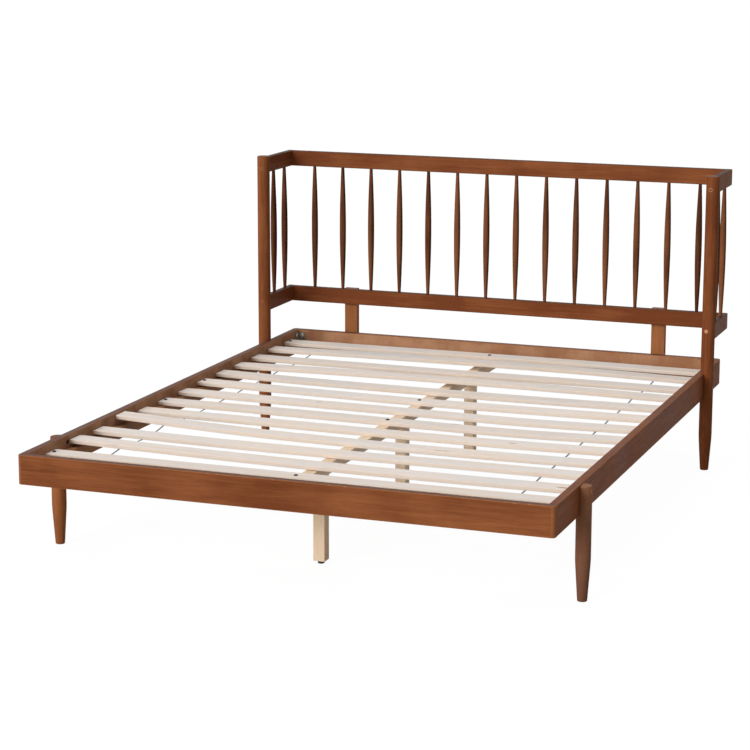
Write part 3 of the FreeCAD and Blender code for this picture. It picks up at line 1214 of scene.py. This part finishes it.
@dataclass
class TurnedLegs:
    """The foot legs and the headboard posts, tapered below and cut around the rails."""

    timber: Timber
    screws: Screws
    bolt_heights: dict[str, float]
    plug_heights: tuple[float, float] = (0.956, 0.480)
    radius: float = 0.022
    foot_radius: float = 0.014
    foot_ease: float = 0.0012
    taper_height: float = 0.116
    taper_steps: int = 9
    # How far inside the leg's face, and how high above the taper, the points of the taper's soft end lie
    taper_end: Pairs = ((0.0001, 0.004), (0.0, 0.014))
    shaft_steps: int = 10
    shaft_room: float = 0.02
    cap_reach: float = 0.004
    cap_rise: float = 0.003
    cap_angles: tuple[int, ...] = (0, 25, 50, 75, 90)
    cap_depth: float = 0.01
    cap_lean: float = 0.3
    # Painted shade on the legs' upper ends
    cap_settled: float = 0.7
    cut_room: float = 0.03
    cut_depth: float = 0.04
    steps: int = 72
    greyed: str = "right_foot_leg_turned"
    # On the greyed leg, painted light and shade: its paler, greyer painted sheen at the top, its painted shade at the
    # foot, how much less shade at the top, and both on its cap
    greyed_thin: float = 0.6
    greyed_foot: float = 0.7
    greyed_fade: float = 0.5
    greyed_cap: tuple[tuple[str, float], ...] = (("thin", 0.65), ("settled", 0.4))
    # How far along x each post's plugs are turned, and how pale the rim and the middle of each plug are
    plug_turns: dict[str, float] = field(default_factory=lambda: {"left": 0.0, "right": -0.14})
    plug_looks: dict[str, Pairs] = field(default_factory=lambda: {
        "left": ((0.25, 0.0), (0.25, 0.0)), "right": ((1.0, 0.0), (1.0, 1.0))})

    def outline(self, top: float) -> list[tuple[float, float]]:
        """Return a leg's outline, from the foot's middle to the cap's.

        Args:
            top: The leg's height.

        Returns:
            Radius and height of each point.
        """
        foot, full, taper = self.foot_radius, self.radius, self.taper_height
        points = [(0.0, 0.0), (foot - self.foot_ease, 0.0), (foot, self.foot_ease)]
        shares = [step / self.taper_steps for step in range(1, self.taper_steps)]
        points += [(foot + (full - foot) * share, taper * share) for share in shares]
        points += [(full - inset, taper + rise) for inset, rise in self.taper_end]
        start, length = taper + self.taper_end[-1][1], top - self.shaft_room - taper
        points += [(full, start + length * step / self.shaft_steps) for step in range(1, self.shaft_steps)]
        for turn in map(math.radians, self.cap_angles):
            points.append((full - self.cap_reach + self.cap_reach * math.cos(turn),
                           top - self.cap_rise + self.cap_rise * math.sin(turn)))
        points.append((0.0, top))
        return points

    def leg(self, name: str, place: Vector, top: float, cuts: Sequence[Corners], node: str) -> None:
        """Build a leg.

        Args:
            name: The piece's name.
            place: Where its axis meets the floor.
            top: Its height.
            cuts: The boxes that are cut from it.
            node: The node that it stands for.
        """
        piece = self.timber.start(name)
        piece.turn(self.outline(top), place, self.steps)
        cutter = piece.cutter()
        for lo, hi in cuts:
            cutter.block(lo, hi)
        piece.cut(cutter)
        low = top - self.cap_depth
        cap = [f for f in piece.mesh.faces if f.normal.z > self.cap_lean and f.calc_center_median().z > low]
        # Painted light and shade on the greyed leg; painted shade on every other cap
        if name == self.greyed:
            self.grey(piece, cap, top)
        else:
            piece.mark(cap, self.cap_settled, "settled")
        piece.finish(node, smooth=True)

    def grey(self, piece: Piece, cap: Iterable[Face], top: float) -> None:
        """Paint a leg's light and shade: darker and greyer towards its foot, with a paler, greyer sheen towards its
        top.

        Args:
            piece: The leg.
            cap: The faces of its upper end.
            top: Its height.
        """
        for face in piece.mesh.faces:
            share = face.calc_center_median().z / top
            piece.mark([face], self.greyed_thin * share, "thin")
            piece.mark([face], self.greyed_foot - self.greyed_fade * share, "settled")
        for value, amount in self.greyed_cap:
            piece.mark(cap, amount, value)

    def build(self) -> None:
        """Build both foot legs and both posts."""
        foot_box = node_box("foot_legs")
        for side, sign in SIDES:
            rail_lo, rail_hi = node_box(side + "_side_rail")
            outer_x = max(abs(rail_lo.x), abs(rail_hi.x))
            outward = Vector((sign, 0, 0))
            post = side + "_headboard_post"
            for name, node, box in (("foot_leg", "foot_legs", foot_box), ("headboard_post", post, node_box(post))):
                axis = Vector((sign * (foot_box[1].x - self.radius), (box[0].y + box[1].y) / 2, 0))
                back_y = axis.y + self.cut_room
                near, far = sorted((sign * (outer_x - self.cut_depth), sign * outer_x))
                cuts = [(Vector((near, axis.y - self.cut_room, rail_lo.z)), Vector((far, back_y, rail_hi.z)))]
                if node == post:
                    for rail in ("top", "lower"):
                        wing_lo, wing_hi = node_box("%s_wing_%s_rail" % (side, rail))
                        cuts.append((wing_lo, Vector((wing_hi.x, back_y, wing_hi.z))))
                self.leg("%s_%s_turned" % (side, name), axis, box[1].z, cuts, node)
                bolt_place = axis + outward * self.radius + Vector((0, 0, self.bolt_heights[name]))
                self.screws.plug("%s_%s_bolt_plug" % (side, name), bolt_place, outward, self.radius)
            forward = Vector((self.plug_turns[side], -1, 0)).normalized()
            for number, (height, looks) in enumerate(zip(self.plug_heights, self.plug_looks[side]), 1):
                plug_place = axis + forward * self.radius + Vector((0, 0, height))
                self.screws.plug("%s_post_plug_%d" % (side, number), plug_place, forward, self.radius, *looks)


@dataclass
class Headboard:
    """The rails of back and wings, their spindles and the struts behind."""

    across: Timber
    lengthwise: Timber
    spindle: Timber
    strut: Timber
    screws: Screws
    end_diameter: float = 0.0112
    swell: float = 0.0117
    rings: int = 28
    steps: int = 32
    back_count: int = 14
    bolt_bore: float = 0.0085
    # How far along x a spindle's faces turn before painted shade starts on its right side, over what reach it grows,
    # and how much
    deep_start: float = 0.55
    deep_reach: float = 0.4
    deep_share: float = 0.8
    # Painted greyer sheen and shade on the right wing's outer side
    outer_thin: float = 0.4
    outer_settled: float = 0.35

    def turned_spindle(self, name: str, place: Vector, height: float, node: str) -> None:
        """Build a cigar-shaped spindle.

        Args:
            name: The piece's name.
            place: Where its axis meets the rail below.
            height: Its height.
            node: The node that it stands for.
        """
        piece = self.spindle.start(name)
        shares = [ring / self.rings for ring in range(self.rings + 1)]
        curve = [((self.end_diameter + self.swell * math.sin(math.pi * share)) / 2, height * share) for share in shares]
        piece.turn([(0.0, 0.0), *curve, (0.0, height)], place, self.steps)
        # Painted shade on the right-facing side of each spindle
        for face in piece.mesh.faces:
            share = min(max((face.normal.x - self.deep_start) / self.deep_reach, 0.0), 1.0)
            piece.mark([face], self.deep_share * share, "settled")
        piece.finish(node, smooth=True)

    def wing_rail(self, side: str, node: str) -> None:
        """Build a wing rail, with a painted grey sheen and shade on the right wing's outer side.

        Args:
            side: The wing's side.
            node: The rail's node.
        """
        piece = self.lengthwise.shape(node)
        if side == "right":
            outer = piece.facing(1, 0, 0)
            piece.mark(outer, self.outer_thin, "thin")
            piece.mark(outer, self.outer_settled, "settled")
        piece.finish(node)

    def bolted_strut(self, side: str) -> None:
        """Build a strut with its bolts into the lower rail and the head rail.

        Args:
            side: The strut's side.
        """
        node = side + "_headboard_strut"
        lo, hi = node_box(node)
        rails = [node_box(rail) for rail in ("headboard_lower_rail", "head_rail")]
        places = [Vector(((lo.x + hi.x) / 2, hi.y, (low.z + high.z) / 2)) for low, high in rails]
        self.screws.bolted(self.strut.shape(node), node, side + "_strut", places, self.bolt_bore, Vector((0, 1, 0)))

    def build(self) -> None:
        """Build the rails, spindles and struts."""
        wing_x = node_box("right_wing_top_rail")[0].x
        for node in ("headboard_top_rail", "headboard_lower_rail"):
            lo, hi = node_box(node)
            self.across.board(node, (Vector((-wing_x, lo.y, lo.z)), Vector((wing_x, hi.y, hi.z))))
        for side, _ in SIDES:
            for rail in ("top", "lower"):
                self.wing_rail(side, "%s_wing_%s_rail" % (side, rail))
            self.bolted_strut(side)
        reach = (self.end_diameter + self.swell) / 2
        lo, hi = node_box("back_spindles")
        pitch = (hi.x - lo.x - 2 * reach) / (self.back_count - 1)
        for number in range(self.back_count):
            place = Vector((lo.x + reach + number * pitch, (lo.y + hi.y) / 2, lo.z))
            self.turned_spindle("back_spindle_%02d" % (number + 1), place, hi.z - lo.z, "back_spindles")
        lo, hi = node_box("wing_spindles")
        for side, x in (("left", lo.x + reach), ("right", hi.x - reach)):
            for number, y in enumerate((lo.y + reach, hi.y - reach), 1):
                self.turned_spindle("%s_wing_spindle_%d" % (side, number), Vector((x, y, lo.z)),
                                    hi.z - lo.z, "wing_spindles")


@dataclass
class Studio:
    """Floor, backdrop, lights and camera."""

    camera_place: tuple[float, float, float] = (2.36019, -6.63138, 1.90649)
    azimuth: float = 19.978
    elevation: float = 11.458
    roll: float = 0.189
    lens: float = 109.092
    shift: tuple[float, float] = (-0.01865, -0.025106)
    sensor_width: float = 36.0
    clip: tuple[float, float] = (0.05, 400.0)
    floor_size: float = 120.0
    floor_depth: float = 0.0003
    floor_colour: Colour = linear(186, 186, 186)
    floor_glow: float = 1.10
    glow_share: float = 0.86
    world_strength: float = 0.14
    white: Colour = (1.0, 1.0, 1.0, 1.0)
    # Each lamp's direction from the bed, how bright it makes a white surface, and its breadth in degrees
    lamps: tuple[tuple[str, tuple[float, float, float], float, float], ...] = (
        ("key", (-0.36, -0.88, 0.30), 0.76, 30.0), ("top", (0.0, -0.15, 1.0), 0.48, 60.0),
        ("back", (-0.15, 0.88, 0.45), 0.36, 60.0))

    def camera(self) -> None:
        """Place the camera where the photograph was taken from."""
        data = bpy.data.cameras.new("camera")
        data.sensor_width, data.sensor_fit, data.lens = self.sensor_width, "HORIZONTAL", self.lens
        data.shift_x, data.shift_y = self.shift
        data.clip_start, data.clip_end = self.clip
        item = new_object("camera", data)
        turn, rise = math.radians(self.azimuth), math.radians(self.elevation)
        back = Vector((math.sin(turn) * math.cos(rise), -math.cos(turn) * math.cos(rise), math.sin(rise)))
        item.location = self.camera_place
        item.rotation_mode = "QUATERNION"
        item.rotation_quaternion = Quaternion(back, math.radians(self.roll)) @ (-back).to_track_quat("-Z", "Y")
        bpy.context.scene.camera = item

    def seen(self, shader: Shader, *rays: str) -> Socket:
        """Return 1 for a ray of one of some kinds, and otherwise 0."""
        path = shader.node("LightPath")
        return reduce(lambda first, second: shader.add(first, second, "MAXIMUM"), (path.outputs[ray] for ray in rays))

    def floor(self) -> None:
        """Lay a white floor that keeps a soft shadow."""
        shader = Shader(bpy.data.materials.new("studio_floor"))
        diffuse = shader.node("BsdfDiffuse", {"Color": self.floor_colour}).outputs[0]
        glow = shader.node("Emission", {"Color": self.white, "Strength": self.floor_glow}).outputs[0]
        seen = self.seen(shader, "Is Camera Ray", "Is Glossy Ray", "Is Transmission Ray")
        blend = shader.node("MixShader", {0: shader.times(seen, self.glow_share), 1: diffuse, 2: glow}).outputs[0]
        shader.node("OutputMaterial", {"Surface": blend})
        plane = bmesh.new()
        bmesh.ops.create_grid(plane, x_segments=1, y_segments=1, size=self.floor_size / 2)
        bmesh.ops.translate(plane, vec=(0, 0, -self.floor_depth), verts=plane.verts)
        mesh = bpy.data.meshes.new("floor")
        plane.to_mesh(mesh)
        mesh.materials.append(shader.owner)
        item = new_object("floor", mesh)

    def world(self) -> None:
        """Light the scene from all round, and show white behind it."""
        shader = Shader(bpy.data.worlds.new("studio"))
        seen = self.seen(shader, "Is Camera Ray", "Is Transmission Ray")
        level = shader.node("MapRange", {0: seen, 3: self.world_strength, 4: 1.0}).outputs[0]
        background = shader.node("Background", {"Color": self.white, "Strength": level}).outputs[0]
        shader.node("OutputWorld", {"Surface": background})
        bpy.context.scene.world = shader.owner

    def build(self) -> None:
        """Set up the whole studio, with its lamps far away so that they light floor and bed evenly."""
        self.camera()
        self.floor()
        self.world()
        for name, toward, level, breadth in self.lamps:
            data = bpy.data.lights.new(name, "SUN")
            data.energy, data.angle = level * math.pi, math.radians(breadth)
            item = new_object(name, data)
            item.rotation_mode = "QUATERNION"
            item.rotation_quaternion = Vector(toward).to_track_quat("Z", "Y")
        bpy.context.scene.view_settings.view_transform = "Standard"


def main() -> None:
    """Build every sub-assembly in order."""
    logging.basicConfig(level=logging.INFO, format="%(name)s: %(message)s")
    # Share of painted shade on the rails' upper faces
    dusk = 0.85
    across = Timber(StainedWood("cross_rail_wood", Grain.ACROSS), dusk=dusk, tones={"foot_rail_board": -0.06})
    # The right side rail is darker: painted shade on its unlit side
    lengthwise = Timber(StainedWood("long_rail_wood", Grain.LENGTHWISE), dusk=dusk, tones={
        "right_side_rail_board": -0.12})
    # Darker eased edges, and a darker painted shade for the headboard's upper faces
    head_dark_edges_and_shade = {"edge": linear(90, 57, 37), "worn": linear(132, 86, 56), "settled": linear(52, 38, 32)}
    head_across = Timber(StainedWood("cross_rail_wood", Grain.ACROSS, **head_dark_edges_and_shade), dusk=dusk, tones={
        "headboard_lower_rail_board": -0.36, "headboard_top_rail_board": -0.16})
    # The left wing's rails are darker: painted shade on their unlit inner side
    head_lengthwise = Timber(StainedWood("long_rail_wood", Grain.LENGTHWISE, **head_dark_edges_and_shade), dusk=dusk, tones={
        "left_wing_top_rail_board": -0.28, "left_wing_lower_rail_board": -0.24})
    turned = StainedWood("turned_wood", Grain.UPRIGHT)
    # Spindles: a near-black painted shade for their right sides
    spindle = StainedWood("spindle_wood", Grain.UPRIGHT, dark=linear(82, 45, 27), light=linear(142, 88, 55),
                          settled=linear(40, 20, 11))
    strut = StainedWood("strut_wood", Grain.UPRIGHT, dark=linear(130, 77, 44), light=linear(166, 108, 67))
    ledge = StainedWood("ledge_wood", Grain.LENGTHWISE, dark=linear(130, 90, 60), light=linear(164, 118, 82))
    plug = StainedWood("turned_wood", Grain.ACROSS, edge=linear(222, 166, 124))
    beam = PlainWood("beam_wood", Grain.LENGTHWISE, base=linear(230, 206, 178), warm=linear(218, 184, 148),
                     cool=linear(222, 204, 182))
    pale_leg = PlainWood("centre_leg_wood", Grain.UPRIGHT, base=linear(228, 202, 172), warm=linear(214, 180, 146),
                         cool=linear(222, 202, 178))
    steel = PlatedSteel(STEEL_SLOT)
    screws = Screws(DarkSteel(STEEL_SLOT), steel, plug)
    platform = Platform(across, lengthwise, Timber(ledge, 0.002), screws)
    slats = Timber(PlainWood("slat_wood", Grain.ACROSS), 0.002, 0.04, {
        "slat_09_board": -0.06, "slat_10_board": -0.04, "slat_11_board": -0.09, "slat_12_board": -0.12,
        "slat_13_board": -0.10})
    # The middle and head centre legs are lighter: painted light under the bed
    pale_legs = Timber(pale_leg, 0.002, tones={"middle_centre_leg_board": 0.22, "head_centre_leg_board": 0.22})
    # Painted light and shade on the legs: both foot legs lighter, the left one most, and the right post darker
    legs = Timber(turned, tones={
        "left_foot_leg_turned": 0.46, "right_foot_leg_turned": 0.14, "right_headboard_post_turned": -0.28})
    bolt_heights = {"foot_leg": platform.leg_bolt_height, "headboard_post": platform.post_bolt_height}
    # Painted shadow of the posts on the left wing's spindles and the last back spindle, and painted light on the right
    # wing's spindles
    spindles = Timber(spindle, tone_reach=0.12, tones={
        "left_wing_spindle_1": -0.30, "left_wing_spindle_2": -0.34, "back_spindle_14": -0.50,
        "right_wing_spindle_1": 0.12, "right_wing_spindle_2": 0.12})
    for part in (
            Studio(), platform, SlatDeck(slats, WovenTape("tape_cloth"), screws),
            CentreSupport(Timber(beam, 0.0015), pale_legs, MouldedPlastic("glide_plastic"), steel),
            TurnedLegs(legs, screws, bolt_heights),
            Headboard(head_across, head_lengthwise, spindles, Timber(strut), screws), Brackets(screws)):
        log.info("building %s", type(part).__name__)
        part.build()


if __name__ == "__main__":
    main()
